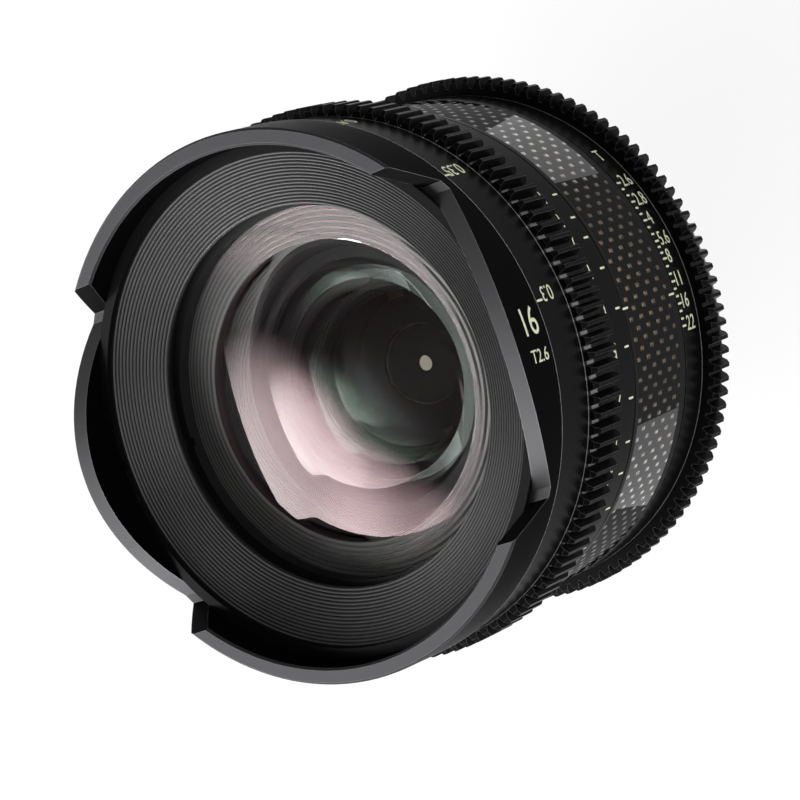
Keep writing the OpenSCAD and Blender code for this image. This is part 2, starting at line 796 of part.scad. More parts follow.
module iris_ring() {
  gear_z0 = iris_z0 + iris_lip;
  color(black) difference() {
    union() {
      rotate_extrude()
        polygon([[ring_bore_r, iris_z0], [iris_band_r, iris_z0], [iris_band_r, iris_z1 - edge_chamfer],
                 [iris_band_r - edge_chamfer, iris_z1], [ring_bore_r, iris_z1]]);
      gear_crown(gear_z0, iris_gear_w, iris_band_r - 1);
    }
    link_bore(link_r + seat_gap, link_seat_r + 0.1);
  }
}

// Radial hole or pin along the iris link, out to a given radius
module link_bore(r, r1) {
  rotate([0, 0, link_angle])
    translate([lug_r0 + 0.5, 0, link_z])
      rotate([0, 90, 0])
        cylinder(r = r, h = r1 - lug_r0 - 0.5);
}

module iris_slide_ring() {
  slide_ring(iris_slide);
}

module iris_link() {
  color(steel) link_bore(link_r, link_seat_r);
}

// Turning ring: one arc slot for each blade's drive pin, and a lug for the link
module iris_cam_ring() {
  color(bronze) difference() {
    union() {
      ring(cam_in_r, cam_out_r, cam_z0, cam_z1);
      rotate([0, 0, link_angle]) {
        translate([cam_out_r - 1, -lug_half, cam_z0]) cube([lug_r1 - cam_out_r + 1, 2 * lug_half, cam_t]);
        translate([lug_r0, -lug_half, link_z - link_r - 1])
          cube([lug_r1 - lug_r0, 2 * lug_half, 2 * link_r + 2]);
      }
    }
    translate([0, 0, cam_z0 - 1])
      for (i = [0:blade_count - 1])
        rotate([0, 0, i * 360 / blade_count])
          cam_arc();
    link_bore(link_r + seat_gap, lug_r1 + 1);
  }
}

// Arc slot through the pin's open, middle and closed places
module cam_arc() {
  a = slot_point(blade_open);
  b = slot_point(0);
  c = slot_point(-blade_open);
  o = circle_centre(a, b, c);
  r = norm(a - o);
  from = atan2(c.y - o.y, c.x - o.x);
  span = atan2(a.y - o.y, a.x - o.x) - from;
  h = cam_t + 2;
  translate([o.x, o.y, 0])
    ring_sector(r - slot_half, r + slot_half, 0, h, from, (span + 360) % 360);
  for (p = [a, c])
    translate([p.x, p.y, 0]) cylinder(r = slot_half, h = h, $fn = 24);
}

module iris_housing() {
  color(black) difference() {
    union() {
      ring(floor_hole_r, housing_flange_r, floor_z0, floor_z0 + floor_t);
      ring(housing_in_r, housing_r, floor_z0 + floor_t, housing_z1);
    }
    translate([0, 0, floor_z0 - 1])
      at_circle(blade_count, pivot_r)
        cylinder(r = pivot_pin_r + slide_gap, h = floor_t + 2, $fn = 24);
    lug_slot();
    housing_screw_set(seat_gap);
  }
}

// Gap in the housing's wall for the cam ring's lug over its whole swing
module lug_slot() {
  margin = 3 + asin(lug_half / housing_in_r);
  ring_sector(housing_in_r - 1, housing_r + 1, cam_z0 - 0.2, housing_z1 + 1,
              link_angle - iris_open_turn - margin, iris_turn + 2 * margin);
}

module iris_retainer() {
  color(black) ring(cam_in_r, housing_r, housing_z1, housing_z1 + 1);
}

module iris_housing_screws() {
  color(steel) housing_screw_set();
}

// Crescent blade with its pivot pin to the back and its drive pin to the front
module blade(i) {
  z = blade_z0 + i * blade_pitch;
  q = drive_pin(blade_open);
  swing = blade_rest - blade_open;
  tab_r = 1.2;
  color(satin)
    rotate([0, 0, i * 360 / blade_count])
      translate([pivot_r, 0, 0]) rotate([0, 0, swing]) translate([-pivot_r, 0, 0]) {
        ring_sector(open_r, open_r + blade_w, z, z + blade_t, 0, blade_arc);
        translate([open_r + blade_w / 2, -tab_r / 2, z])
          cube([pivot_r - open_r - blade_w / 2, 1.5 * tab_r, blade_t]);
        translate([pivot_r, 0, z]) cylinder(r = tab_r, h = blade_t, $fn = 32);
        translate([pivot_r, 0, z]) rotate([0, 0, blade_open]) translate([-tab_r / 2, -drive_arm, 0])
          cube([tab_r, drive_arm, blade_t]);
        translate([q.x, q.y, z]) cylinder(r = tab_r - 0.2, h = blade_t, $fn = 32);
        translate([pivot_r, 0, floor_z0 + pin_inset])
          cylinder(r = pivot_pin_r, h = z + blade_t - floor_z0 - pin_inset, $fn = 24);
        translate([q.x, q.y, z]) cylinder(r = drive_pin_r, h = cam_z1 - pin_inset - z, $fn = 24);
      }
}

module rear_cell() {
  color(black) difference() {
    rotate_extrude()
      polygon([[rear_bore_r, rear_cell_z0], [rear_cell_r, rear_cell_z0],
               [rear_cell_r, web_z0 - rear_flange_t],
               [rear_flange_r, web_z0 - rear_flange_t], [rear_flange_r, web_z0], [rear_cell_r, web_z0],
               [rear_cell_r, rear_cell_z1], [rear_bore_r - rear_lip_w, rear_cell_z1],
               [rear_bore_r - rear_lip_w, fifth_z1],
               [rear_bore_r, fifth_z1]]);
    rear_cell_screw_set(seat_gap);
  }
}

module rear_cell_screws() {
  color(steel) rear_cell_screw_set();
}

module fifth_element() {
  color(glass)
    lens(rear_lens_r, fifth_z1 - fifth_t, fifth_z1, rear_lens_r - rear_lip_w, 1.2, rear_clear_r, -1.4);
}

module rear_spacer_front() {
  color(black) ring(rear_clear_r + slide_gap, rear_lens_r, sixth_z1, fifth_z1 - fifth_t);
}

module sixth_element() {
  color(glass)
    lens(rear_lens_r, sixth_z1 - sixth_t, sixth_z1, rear_clear_r, -0.8, rear_clear_r, -2.2);
}

module rear_spacer_rear() {
  color(black) ring(rear_clear_r + slide_gap, rear_lens_r, rear_element_z1, sixth_z1 - sixth_t);
}

module rear_element() {
  color(glass) lens(rear_lens_r, rear_element_z0, rear_element_z1, rear_clear_r, 2, rear_clear_r, 1);
}

module rear_cell_retainer() {
  color(black) mirror([0, 0, 1])
    spanner_ring(rear_clear_r, rear_lens_r, -rear_element_z0, rear_retainer_t - rear_element_z0,
                 spanner_slot_depth);
}

// Tapered housing between the iris ring and the mount
module rear_barrel() {
  foot_r = flange_r + 0.9;
  foot_chamfer = 0.5;
  foot_h = 4;
  rim = 3.6;
  cone_h = 2.6;
  cone_step = 1.2;
  color(black) difference() {
    rotate_extrude()
      polygon([[rear_barrel_in_r, rear_z0], [foot_r, rear_z0],
               [foot_r + foot_chamfer, rear_z0 + foot_chamfer], [foot_r + foot_chamfer, rear_z0 + foot_h],
               [rear_barrel_r - cone_step, web_z0 - rim - cone_h], [rear_barrel_r, web_z0 - rim],
               [rear_barrel_r, web_z0 - edge_chamfer], [rear_barrel_r - edge_chamfer, web_z0],
               [rear_barrel_in_r, web_z0]]);
    mount_screw_set(seat_gap);
  }
}

module mount_shim() {
  color(steel) difference() {
    ring(spigot_r, flange_r - shim_inset, flange_t, rear_z0);
    mount_screw_set(seat_gap);
  }
}

// Four-lobed flange on a round spigot, with a locating notch in each lobe
module lens_mount() {
  gap_angle = 90 - lobe_angle;
  color(steel) difference() {
    union() {
      ring(spigot_in_r, flange_r, 0, flange_t);
      ring(spigot_in_r, spigot_r, -spigot_len, 0);
    }
    for (i = [0:3])
      ring_sector(flange_r - lobe_gap_depth, flange_r + 1, -1, flange_t + 1,
                  i * 90 - gap_angle / 2, gap_angle);
    for (i = [0:3])
      rotate([0, 0, 45 + i * 90])
        translate([flange_r - locating_notch_depth, -locating_notch_w / 2, -1])
          cube([locating_notch_depth + 1, locating_notch_w, flange_t + 2]);
    translate([0, 0, -spigot_len - 1])
      cylinder(r = spigot_in_r + baffle_step, h = baffle_step + rear_baffle_t + 1);
    mount_screw_set(seat_gap);
  }
}

module mount_screws() {
  color(steel) mount_screw_set();
}

module rear_baffle() {
  z1 = baffle_step + rear_baffle_t - spigot_len;
  color(black) difference() {
    translate([0, 0, z1 - rear_baffle_t])
      cylinder(r = spigot_in_r + baffle_step - seat_gap, h = rear_baffle_t);
    translate([-window_w / 2, -window_h / 2, z1 - rear_baffle_t - 1])
      cube([window_w, window_h, rear_baffle_t + 2]);
  }
}

petal_hood();
hood_screws();
hood_retainer();
ribbed_baffle();
front_cell();
light_trap_ring();
front_element();
front_element_retainer();
second_element();
second_element_retainer();
main_barrel();
carbon_sleeve();
focus_ring();
focus_cam_sleeve();
focus_slide_ring_front();
focus_slide_ring_rear();
focus_cell();
focus_followers();
third_element();
focus_spacer();
fourth_element();
focus_cell_retainer();
iris_ring();
iris_slide_ring();
iris_link();
iris_cam_ring();
iris_housing();
iris_retainer();
iris_housing_screws();
blade(0);  // blade_01
blade(1);  // blade_02
blade(2);  // blade_03
blade(3);  // blade_04
blade(4);  // blade_05
blade(5);  // blade_06
blade(6);  // blade_07
blade(7);  // blade_08
blade(8);  // blade_09
blade(9);  // blade_10
blade(10);  // blade_11
rear_cell();
rear_cell_screws();
fifth_element();
rear_spacer_front();
sixth_element();
rear_spacer_rear();
rear_element();
rear_cell_retainer();
rear_barrel();
mount_shim();
lens_mount();
mount_screws();
rear_baffle();
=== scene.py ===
"""Looks of a cinema prime lens with a petal hood, two toothed rings and a carbon-fibre band."""
import math

import bmesh
import bpy
import numpy as np
from bpy.props import FloatProperty, FloatVectorProperty, PointerProperty
from mathutils import Matrix, Vector


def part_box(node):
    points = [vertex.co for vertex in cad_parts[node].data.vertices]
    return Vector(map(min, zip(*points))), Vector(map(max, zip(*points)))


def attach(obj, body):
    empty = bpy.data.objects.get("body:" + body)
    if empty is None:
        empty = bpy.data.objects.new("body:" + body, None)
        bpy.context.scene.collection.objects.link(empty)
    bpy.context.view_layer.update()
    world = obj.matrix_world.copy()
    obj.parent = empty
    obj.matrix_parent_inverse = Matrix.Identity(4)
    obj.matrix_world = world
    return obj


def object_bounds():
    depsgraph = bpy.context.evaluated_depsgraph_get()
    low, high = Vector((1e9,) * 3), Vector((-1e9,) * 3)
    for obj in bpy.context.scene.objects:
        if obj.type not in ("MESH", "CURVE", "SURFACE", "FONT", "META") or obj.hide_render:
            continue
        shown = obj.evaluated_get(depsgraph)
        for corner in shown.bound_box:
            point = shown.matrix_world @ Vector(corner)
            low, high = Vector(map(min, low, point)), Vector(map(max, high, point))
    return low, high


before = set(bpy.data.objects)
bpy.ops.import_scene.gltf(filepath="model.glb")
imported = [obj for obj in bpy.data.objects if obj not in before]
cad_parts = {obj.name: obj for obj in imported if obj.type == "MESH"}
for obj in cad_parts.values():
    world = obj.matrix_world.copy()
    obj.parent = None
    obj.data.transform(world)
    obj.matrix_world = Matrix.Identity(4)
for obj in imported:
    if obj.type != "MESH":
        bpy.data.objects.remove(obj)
CAD_BOX = [list(corner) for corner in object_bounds()]

bl_info = {
    "name": "Cinema prime lens looks",
    "version": (1, 0, 0),
    "blender": (4, 5, 0),
    "location": "View3D > Sidebar > Prime Lens",
    "description": "Finishes, scales and studio for a cinema prime lens",
    "category": "Object",
}

MM = 0.001


def outer_radius(node):
    """Radius of a round node, which is its box's half width along Y."""
    low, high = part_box(node)
    return (high.y - low.y) / 2


def inner_radius(node):
    """Radius of a round node's bore: the least distance of its mesh's points from the lens axis."""
    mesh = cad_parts[node].data
    points = np.empty(len(mesh.vertices) * 3)
    mesh.vertices.foreach_get("co", points)
    x, y, _ = points.reshape(-1, 3).T
    return float(np.hypot(x, y).min())


def ends(node):
    """Lowest and highest Z of a node, in metres."""
    return [corner.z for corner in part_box(node)]


HOOD_R = outer_radius("petal_hood")
BODY_R = outer_radius("carbon_sleeve")
GLASS_R = outer_radius("front_element")
FOCUS_Z = ends("focus_ring")
IRIS_Z = ends("iris_ring")
FLOOR_Z = CAD_BOX[0][2]

# Radii of the bands of the rings that carry numbers
FOCUS_FRONT_R = 46.9 * MM
FOCUS_REAR_R = 45.9 * MM
IRIS_BAND_R = 45.7 * MM

# Ribs of the baffle, which end at a plain land, and grooves of the light trap, the first of them cut short
BAFFLE_LAND = 1.8 * MM
RIB_COUNT = 16
RIBS_OUT_R = outer_radius("ribbed_baffle") - BAFFLE_LAND
RIB_PITCH = (RIBS_OUT_R - inner_radius("ribbed_baffle")) / RIB_COUNT
TRAP_GROOVES = 8.5
TRAP_IN_R = inner_radius("light_trap_ring")
TRAP_PITCH = (outer_radius("light_trap_ring") - TRAP_IN_R) / TRAP_GROOVES
TRAP_START_R = TRAP_IN_R + 0.75 * TRAP_PITCH

# Front faces of both gears, their teeth's root radius and a radius past the whole lens, all in millimetres
FOCUS_GEAR_FRONT = FOCUS_Z[0] / MM + 17.55
IRIS_GEAR_FRONT = IRIS_Z[0] / MM + 5.5
TOOTH_ROOT_R = 47.2
PAST_LENS_R = 100

# Heights of the marks along the lens axis
HOOD_DIGITS_Z = 83.3 * MM
HOOD_STOP_Z = 83.2 * MM
FOCUS_FRONT_DIGITS_Z = 74.4 * MM
FOCUS_FRONT_TICKS_Z = 77.3 * MM
FOCUS_REAR_DIGITS_Z = 57.6 * MM
FOCUS_REAR_TICKS_Z = 53.5 * MM
FOCUS_INDEX_Z = 50.9 * MM
IRIS_INDEX_Z = 34.6 * MM
IRIS_TICKS_Z = 32.4 * MM
IRIS_THIRDS_Z = 32.6 * MM
IRIS_DIGITS_Z = 31.4 * MM

# Numbers of the scales, each with its angle from +X in degrees
NEAR_DISTANCES = [("0.3", 5.4), ("0.35", 37.3), ("0.4", 64.3), ("0.5", 97.0), ("0.7", 131.0), ("1", 158.0),
                  ("2", 180.0), ("5", 190.0)]
FAR_DISTANCES = [("1", 25.6), ("1", 19.3), ("2", 14.2), ("1", 6.9), ("1", -2.1), ("5", -10.4), ("7", -21.4),
                 ("1", -31.0), ("2", -38.3), ("3", -47.0), ("4", -58.0), ("6", -71.0), ("8", -86.0),
                 ("9", -103.0)]
STOPS = [("2.6", 24.7), ("2.8", 19.4), ("4", 14.5), ("5.6", 9.3), ("8", 5.1), ("11", -0.2), ("16", -5.2),
         ("22", -10.2)]

# Depths of the bumps
GRAIN_DEPTH = 0.004 * MM
TURNED_DEPTH = 0.0015 * MM
WEAVE_DEPTH = 0.1 * MM

# Carbon's resin, the glass and its ground walls, and how metallic the painted highlight lines are
RESIN = (0.0016, 0.0016, 0.0017)
CLEAR_GLASS = (0.98, 0.99, 0.985)
GLASS_EDGE = (0.05, 0.008, 0.03)
INNER_GLASS_INDEX = 1.6
GROUND_ROUGHNESS = 0.5
EDGE_HIGHLIGHT_METAL = 0.6

# Floor: the share of plain white in what is seen of it, where the rest keeps the shadow, its half width and
# its gap below the lens
FLOOR_WHITE = 0.9
FLOOR_HALF = 6.0
FLOOR_GAP = 0.02 * MM

# Camera: its place, the direction from the lens to it and its upward direction
CAMERA_PLACE = (0.3049, 0.0, 0.4870)
CAMERA_BACK = (0.578, 0.009, 0.815)
CAMERA_UP = (0.258, 0.946, -0.193)

# Cards on the floor that light the carbon band: name, place, width, depth, radiance, tint, direction of depth
CARD_Z = FLOOR_Z + 1 * MM
CARDS = [("upper card", (0.0376, 0.0598), 0.042, 0.026, 3.8, (1, 1, 1), (0.41, 0.91, 0)),
         ("middle card", (0.117, -0.005), 0.044, 0.11, 13.0, (1.0, 0.85, 0.68), (0, 1, 0)),
         ("lower card", (0.0376, -0.0598), 0.042, 0.026, 3.8, (1, 1, 1), (0.41, -0.91, 0))]

# Feathered lights of the sky: azimuth from +X and elevation, full and outer half angles in degrees, radiance
SKY_LIGHTS = [(198, 31, 5, 38, 9.0), (238, 28, 4, 30, 7.0)]


def colour(name, description, default):
    """Colour setting."""
    return FloatVectorProperty(name=name, description=description, subtype="COLOR", size=3, min=0, max=1,
                               default=default)


def length(name, description, default):
    """Length setting, given in millimetres and kept in metres."""
    return FloatProperty(name=name, description=description, unit="LENGTH", min=0, default=default * MM)


def amount(name, description, default, top):
    """Plain number setting."""
    return FloatProperty(name=name, description=description, min=0, max=top, default=default)


class LensFinishSettings(bpy.types.PropertyGroup):
    """Colours of the finishes."""

    anodised: colour("Anodised black", "Colour of the black metal", (0.006, 0.006, 0.0061))
    # Paler colour painted on the hood's front faces, as painted light for the light they face
    rim: colour("Satin rim", "Colour of the hood's blasted front faces", (0.05, 0.05, 0.052))
    # Pale colour of the painted highlights on sharp edges and of the highlight lines at the seams
    edge: colour("Turned edge", "Colour of the thin bright edges of the rings", (0.5, 0.51, 0.52))
    trap: colour("Light trap", "Colour of the grooved ring behind the front lens", (0.28, 0.27, 0.265))
    paint: colour("Scale paint", "Colour of the numbers and ticks", (0.62, 0.66, 0.46))
    tow: colour("Carbon glint", "Colour of the fibre tows that catch the light", (0.042, 0.031, 0.021))
    front_coat: colour("Front coating", "Tint of the front lens's reflections", (0.85, 0.57, 0.61))
    green_coat: colour("Green coating", "Tint of the green-coated lenses' reflections", (0.03, 0.06, 0.035))
    dark_coat: colour("Dark coating", "Tint of the focusing lenses' reflections", (0.0, 0.0, 0.0))
    amber_coat: colour("Amber coating", "Tint of the sixth lens's reflections", (0.055, 0.043, 0.027))
    rose_coat: colour("Rose coating", "Tint of the rear lens's reflections", (0.06, 0.03, 0.042))
    steel: colour("Steel", "Colour of the mount and the screws", (0.36, 0.36, 0.37))
    bronze: colour("Bronze", "Colour of the cam rings", (0.5, 0.36, 0.17))
    polymer: colour("Polymer", "Colour of the bearing rings", (0.82, 0.8, 0.76))


class LensScaleSettings(bpy.types.PropertyGroup):
    """Sizes of the numbers and ticks."""

    lift: length("Paint lift", "Height of the paint above the metal", 0.05)
    hood_digit: length("Focal length height", "Height of the focal length digits", 4.7)
    stop_digit: length("Widest stop height", "Height of the widest stop on the hood", 2.2)
    ring_digit: length("Scale digit height", "Height of the ring digits", 2.6)
    tick: length("Tick width", "Width of the ticks", 0.38)


class LensStageSettings(bpy.types.PropertyGroup):
    """Studio floor, light and camera."""

    floor: colour("Floor", "Colour of the floor", (0.9, 0.9, 0.9))
    sky: amount("Sky", "Strength of the even light from all round", 0.1, 2)
    focal: amount("Focal length", "Focal length of the camera in millimetres", 135, 300)


def mesh_piece(name, points, faces, finish, body):
    """Makes a mesh object of points and faces, gives it its material and lets it ride on a body."""
    mesh = bpy.data.meshes.new(name)
    mesh.from_pydata(points.tolist(), [], faces.tolist())
    mesh.update()
    piece = bpy.data.objects.new(name, mesh)
    bpy.context.scene.collection.objects.link(piece)
    mesh.materials.append(finish)
    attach(piece, body)
    return piece


def wrap(flat, radius, angle, height, turn):
    """Bends flat marks round the lens axis.

    A flat point (u, v) with u along the line of writing goes to height z = height + turn * u and to the
    angle angle - turn * v / radius, at the given radius. So turn -1 writes away from the front and +1
    towards it."""
    theta = math.radians(angle) - turn * flat[:, 1] / radius
    z = height + turn * flat[:, 0]
    return np.column_stack([radius * np.cos(theta), radius * np.sin(theta), z])


def letters(text, size, narrow):
    """Flat mesh of a short text, centred, with its digits size tall: (points as u and v, triangles).

    Each triangle of the filled outline is cut once along all its sides, so that it can bend."""
    curve = bpy.data.curves.new("letters", "FONT")
    curve.body = text
    curve.resolution_u = 4
    holder = bpy.data.objects.new("letters", curve)
    bpy.context.scene.collection.objects.link(holder)
    bpy.context.view_layer.update()
    ready = holder.evaluated_get(bpy.context.evaluated_depsgraph_get())
    mesh = bpy.data.meshes.new_from_object(ready)
    work = bmesh.new()
    work.from_mesh(mesh)
    bmesh.ops.remove_doubles(work, verts=work.verts, dist=1e-5)
    bmesh.ops.triangulate(work, faces=work.faces)
    bmesh.ops.subdivide_edges(work, edges=work.edges[:], cuts=1, use_grid_fill=True)
    bmesh.ops.triangulate(work, faces=work.faces)
    work.to_mesh(mesh)
    work.free()
    points = np.empty(len(mesh.vertices) * 3)
    mesh.vertices.foreach_get("co", points)
    triangles = np.empty(len(mesh.polygons) * 3, int)
    mesh.polygons.foreach_get("vertices", triangles)
    bpy.data.objects.remove(holder)
    bpy.data.meshes.remove(mesh)
    bpy.data.curves.remove(curve)
    points = points.reshape(-1, 3)[:, :2]
    low, high = points.min(0), points.max(0)
    scale = size / (high[1] - low[1])
    return (points - (low + high) / 2) * scale * np.array([narrow, 1.0]), triangles.reshape(-1, 3)


def tick(size, width):
    """Flat tick as a grid, with u along it and v across; its half width falls as a root towards both ends."""
    steps, blunt, fullness = 12, 0.04, 1.4
    s = np.linspace(-1, 1, steps + 1)
    from_end = (1 - np.abs(s)) * size / width
    half = width / 2 * np.minimum(1.0, np.sqrt(np.maximum(blunt, from_end)) * fullness)
    u = np.repeat(s * size / 2, 2)
    v = np.outer(half, [-1, 1]).ravel()
    i = np.arange(steps)[:, None] * 2
    triangles = np.concatenate([i + [0, 2, 3], i + [0, 3, 1]])
    return np.column_stack([u, v]), triangles


def outward(points, triangles):
    """Turns each triangle so that it looks away from the lens axis."""
    a, b, c = points[triangles].transpose(1, 0, 2)
    normal = np.cross(b - a, c - a)
    inward = (normal * (a + b + c))[:, :2].sum(1) < 0
    return np.where(inward[:, None], triangles[:, ::-1], triangles)


def scale_piece(name, marks, body):
    """One painted piece from many marks, each (flat points, triangles, radius, angle, height, turn)."""
    lift = bpy.context.scene.lens_scale.lift
    points, faces, start = [], [], 0
    for flat, triangles, radius, angle, height, turn in marks:
        bent = wrap(flat, radius + lift, angle, height, turn)
        points.append(bent)
        faces.append(outward(bent, triangles) + start)
        start += len(bent)
    points, faces = np.concatenate(points), np.concatenate(faces)
    piece = mesh_piece(name, points, faces, material("scale paint"), body)
    wall = piece.modifiers.new("paint thickness", "SOLIDIFY")
    wall.thickness = 0.8 * lift
    wall.offset = -1
    return piece


def text_mark(text, size, radius, angle, height, turn, narrow=0.8, start=False):
    """Mark of one text, centred on a place on the barrel or starting from it."""
    flat, triangles = letters(text, size, narrow)
    if start:
        flat[:, 0] -= flat[:, 0].min()
    return flat, triangles, radius, angle, height, turn


def tick_mark(size, radius, angle, height):
    """Mark of one tick along the lens axis."""
    return (*tick(size, bpy.context.scene.lens_scale.tick), radius, angle, height, 1)


MATERIALS = {}


def material(name):
    """The finish of that name, made once."""
    if name not in MATERIALS:
        MATERIALS[name] = FINISHES[name](name)
    return MATERIALS[name]


FLOAT = "NodeSocketFloat"


def effect(name, inputs, outputs):
    """Empty shader node group with named number sockets: (tree, input node, output node)."""
    tree = bpy.data.node_groups.new(name, "ShaderNodeTree")
    for label, value in inputs:
        tree.interface.new_socket(label, in_out="INPUT", socket_type=FLOAT).default_value = value
    for label in outputs:
        tree.interface.new_socket(label, in_out="OUTPUT", socket_type=FLOAT)
    return tree, tree.nodes.new("NodeGroupInput"), tree.nodes.new("NodeGroupOutput")


def place_effect(tree, build, **values):
    """Puts a node group into a tree, made on first use, with its inputs set."""
    name = EFFECT_NAMES[build]
    node = tree.nodes.new("ShaderNodeGroup")
    node.node_tree = bpy.data.node_groups.get(name) or build(name)
    for label, value in values.items():
        node.inputs[label].default_value = value
    return node.outputs


def math_node(tree, operation, *values):
    """Math node; each value is a number or a socket to link."""
    node = tree.nodes.new("ShaderNodeMath")
    node.operation = operation
    for socket, value in zip(node.inputs, values):
        if isinstance(value, (int, float)):
            socket.default_value = value
        else:
            tree.links.new(value, socket)
    return node.outputs[0]


def ramp(tree, value, low, high, top=1.0):
    """Smooth step of a socket from 0 at low to top at high."""
    node = tree.nodes.new("ShaderNodeMapRange")
    node.interpolation_type = "SMOOTHSTEP"
    for label, number in (("From Min", low), ("From Max", high), ("To Max", top)):
        node.inputs[label].default_value = number
    tree.links.new(value, node.inputs["Value"])
    return node.outputs[0]


def highest(tree, values):
    """The greatest of some sockets."""
    top = values[0]
    for value in values[1:]:
        top = math_node(tree, "MAXIMUM", top, value)
    return top


def blend_colour(tree, factor, a, b):
    """Colour mix; factor is a socket, each colour three numbers or a socket."""
    node = tree.nodes.new("ShaderNodeMix")
    node.data_type = "RGBA"
    tree.links.new(factor, node.inputs[0])
    for socket, value in ((node.inputs[6], a), (node.inputs[7], b)):
        if isinstance(value, bpy.types.NodeSocket):
            tree.links.new(value, socket)
        else:
            socket.default_value = (*value, 1)
    return node.outputs[2]


def shade(value, factor):
    """A colour made darker or lighter."""
    return tuple(c * factor for c in value)


def polar_effect(name):
    """Radius and height in millimetres and angle in radians round the lens axis, from Object coordinates."""
    tree, _, out = effect(name, [], ["Radius", "Angle", "Height"])
    place = tree.nodes.new("ShaderNodeTexCoord")
    parts = tree.nodes.new("ShaderNodeSeparateXYZ")
    tree.links.new(place.outputs["Object"], parts.inputs[0])
    x, y, z = parts.outputs
    square = math_node(tree, "ADD", math_node(tree, "MULTIPLY", x, x), math_node(tree, "MULTIPLY", y, y))
    tree.links.new(math_node(tree, "DIVIDE", math_node(tree, "SQRT", square), MM), out.inputs["Radius"])
    tree.links.new(math_node(tree, "ARCTAN2", y, x), out.inputs["Angle"])
    tree.links.new(math_node(tree, "DIVIDE", z, MM), out.inputs["Height"])
    return tree


def grain_effect(name):
    """Fine bead-blasted grain with broad handling marks: a roughness, a tone and a bump height."""
    tree, given, out = effect(name, [("Scale", 9000.0), ("Roughness", 0.4), ("Spread", 0.08)],
                              ["Roughness", "Tone", "Height"])
    place = tree.nodes.new("ShaderNodeTexCoord")
    fine = tree.nodes.new("ShaderNodeTexNoise")
    fine.inputs["Detail"].default_value = 2.0
    tree.links.new(place.outputs["Object"], fine.inputs["Vector"])
    tree.links.new(given.outputs["Scale"], fine.inputs["Scale"])
    broad = tree.nodes.new("ShaderNodeTexNoise")
    broad.inputs["Scale"].default_value = 90.0
    broad.inputs["Detail"].default_value = 5.0
    tree.links.new(place.outputs["Object"], broad.inputs["Vector"])
    off = math_node(tree, "SUBTRACT", broad.outputs[0], 0.5)
    shift = math_node(tree, "MULTIPLY", off, given.outputs["Spread"])
    tree.links.new(math_node(tree, "ADD", given.outputs["Roughness"], shift), out.inputs["Roughness"])
    both = math_node(tree, "ADD", broad.outputs[0], fine.outputs[0])
    tree.links.new(math_node(tree, "MULTIPLY", both, 0.5), out.inputs["Tone"])
    tree.links.new(fine.outputs[0], out.inputs["Height"])
    return tree


def line_effect(name):
    """Mask within half a width of a height along the lens axis and inside a radius, all in millimetres."""
    tree, given, out = effect(name, [("At", 0.0), ("Width", 0.3), ("Inside", 100.0)], ["Mask"])
    polar = place_effect(tree, polar_effect)
    off = math_node(tree, "ABSOLUTE", math_node(tree, "SUBTRACT", polar["Height"], given.outputs["At"]))
    half = math_node(tree, "MULTIPLY", given.outputs["Width"], 0.5)
    near = math_node(tree, "LESS_THAN", off, half)
    low = math_node(tree, "LESS_THAN", polar["Radius"], given.outputs["Inside"])
    tree.links.new(math_node(tree, "MULTIPLY", near, low), out.inputs["Mask"])
    return tree


def facing_effect(name):
    """Masks of faces that look to the front and of walls round the axis, from the Object normal's Z."""
    tree, _, out = effect(name, [], ["Front", "Wall"])
    place = tree.nodes.new("ShaderNodeTexCoord")
    parts = tree.nodes.new("ShaderNodeSeparateXYZ")
    tree.links.new(place.outputs["Normal"], parts.inputs[0])
    tree.links.new(ramp(tree, parts.outputs[2], 0.45, 0.8), out.inputs["Front"])
    off = math_node(tree, "ABSOLUTE", parts.outputs[2])
    tree.links.new(math_node(tree, "LESS_THAN", off, 0.15), out.inputs["Wall"])
    return tree


def edge_highlight_effect(name):
    """Mask of sharp edges, where the normal rounded over a small radius leaves the true one."""
    tree, given, out = effect(name, [("Radius", 0.12 * MM)], ["Mask"])
    rounded = tree.nodes.new("ShaderNodeBevel")
    rounded.samples = 4
    tree.links.new(given.outputs["Radius"], rounded.inputs["Radius"])
    true = tree.nodes.new("ShaderNodeNewGeometry")
    turn = tree.nodes.new("ShaderNodeVectorMath")
    turn.operation = "DOT_PRODUCT"
    tree.links.new(rounded.outputs[0], turn.inputs[0])
    tree.links.new(true.outputs["Normal"], turn.inputs[1])
    tree.links.new(ramp(tree, turn.outputs["Value"], 0.985, 0.85), out.inputs["Mask"])
    return tree


def groove_effect(name):
    """Turned grooves, in mm: 0 where the radius is whole pitches from the start, 1 half way between."""
    tree, given, out = effect(name, [("Start", 40.0), ("Pitch", 1.0)], ["Crest"])
    off = math_node(tree, "SUBTRACT", place_effect(tree, polar_effect)["Radius"], given.outputs["Start"])
    half = math_node(tree, "MULTIPLY", given.outputs["Pitch"], 0.5)
    rise = math_node(tree, "DIVIDE", math_node(tree, "PINGPONG", off, half), half)
    tree.links.new(ramp(tree, rise, 0.2, 0.8), out.inputs["Crest"])
    return tree


def turned_effect(name):
    """Fine turned lines: a smooth step of one-dimensional noise over radius plus height, in millimetres."""
    tree, given, out = effect(name, [("Scale", 3.0)], ["Lines"])
    polar = place_effect(tree, polar_effect)
    cut = tree.nodes.new("ShaderNodeTexNoise")
    cut.noise_dimensions = "1D"
    cut.inputs["Detail"].default_value = 4.0
    tree.links.new(given.outputs["Scale"], cut.inputs["Scale"])
    tree.links.new(math_node(tree, "ADD", polar["Radius"], polar["Height"]), cut.inputs["W"])
    tree.links.new(ramp(tree, cut.outputs[0], 0.3, 0.7), out.inputs["Lines"])
    return tree


